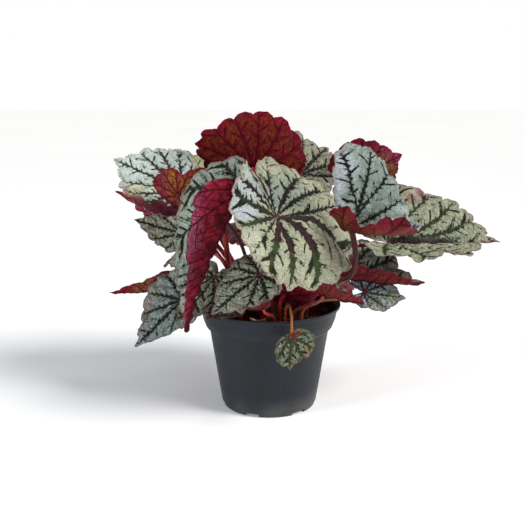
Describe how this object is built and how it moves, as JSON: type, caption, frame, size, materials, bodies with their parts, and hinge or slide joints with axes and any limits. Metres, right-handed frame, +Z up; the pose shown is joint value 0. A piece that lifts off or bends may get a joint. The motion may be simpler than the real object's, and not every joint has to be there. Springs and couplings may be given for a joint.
{
  "type": "potted rex begonia",
  "caption": "Rex begonia with broad silver, cream and burgundy leaves on arching red stalks, in a round tapered plastic nursery pot filled with soil.",
  "frame": {"origin": "centre of the pot's underside, on the pot's axis at the height where it stands", "axes": "+Z up along the pot's axis, -Y towards the viewer of the picture, +X to the viewer's right"},
  "size_m": [0.3366, 0.2259, 0.2459],
  "materials": {
    "pot_plastic": "matt dark grey plastic with a faint sheen",
    "potting_soil": "loose dark brown crumbs and fibres",
    "leaf_silver_face": "silvery green leaf with dark veins, satin",
    "leaf_cream_face": "cream leaf with chocolate and green veins, satin",
    "leaf_burgundy_face": "burgundy leaf with dark red veins, satin",
    "stalk_skin": "red stalk with short pale hairs",
    "dry_leaf": "dry tan leaf, matt"
  },
  "bodies": {
    "root": {"pot": "pot_plastic", "soil": "potting_soil", "leaf_top_red": "leaf_burgundy_face", "stalk_top_red": "stalk_skin", "leaf_front_silver": "leaf_cream_face", "stalk_front_silver": "stalk_skin", "leaf_folded_magenta": "leaf_burgundy_face", "stalk_folded_magenta": "stalk_skin", "leaf_left_silver": "leaf_silver_face", "stalk_left_silver": "stalk_skin", "leaf_upper_left": "leaf_silver_face", "stalk_upper_left": "stalk_skin", "leaf_under_left": "leaf_burgundy_face", "stalk_under_left": "stalk_skin", "leaf_curled_gold": "leaf_burgundy_face", "stalk_curled_gold": "stalk_skin", "leaf_pale_green": "leaf_cream_face", "stalk_pale_green": "stalk_skin", "leaf_upper_right": "leaf_silver_face", "stalk_upper_right": "stalk_skin", "leaf_cup": "leaf_silver_face", "stalk_cup": "stalk_skin", "leaf_right_red": "leaf_burgundy_face", "stalk_right_red": "stalk_skin", "leaf_far_right": "leaf_cream_face", "stalk_far_right": "stalk_skin", "leaf_folded_right": "leaf_burgundy_face", "stalk_folded_right": "stalk_skin", "leaf_small_right": "leaf_silver_face", "stalk_small_right": "stalk_skin", "leaf_young_right": "leaf_burgundy_face", "stalk_young_right": "stalk_skin", "leaf_hanging": "leaf_silver_face", "stalk_hanging": "stalk_skin", "leaf_lower_left": "leaf_silver_face", "stalk_lower_left": "stalk_skin", "leaf_thin_left": "leaf_burgundy_face", "stalk_thin_left": "stalk_skin", "leaf_cream_left": "leaf_cream_face", "stalk_cream_left": "stalk_skin", "leaf_front_left": "leaf_silver_face", "stalk_front_left": "stalk_skin", "leaf_rim_left": "leaf_silver_face", "stalk_rim_left": "stalk_skin", "leaf_young_left": "leaf_burgundy_face", "stalk_young_left": "stalk_skin", "leaf_under_front": "leaf_burgundy_face", "stalk_under_front": "stalk_skin", "leaf_back_centre": "leaf_silver_face", "stalk_back_centre": "stalk_skin", "leaf_back_left": "leaf_cream_face", "stalk_back_left": "stalk_skin", "leaf_back_right": "leaf_silver_face", "stalk_back_right": "stalk_skin", "leaf_back_low_left": "leaf_silver_face", "stalk_back_low_left": "stalk_skin", "leaf_back_low_right": "leaf_cream_face", "stalk_back_low_right": "stalk_skin", "dried_leaf": "dry_leaf"}
  },
  "joints": []
}
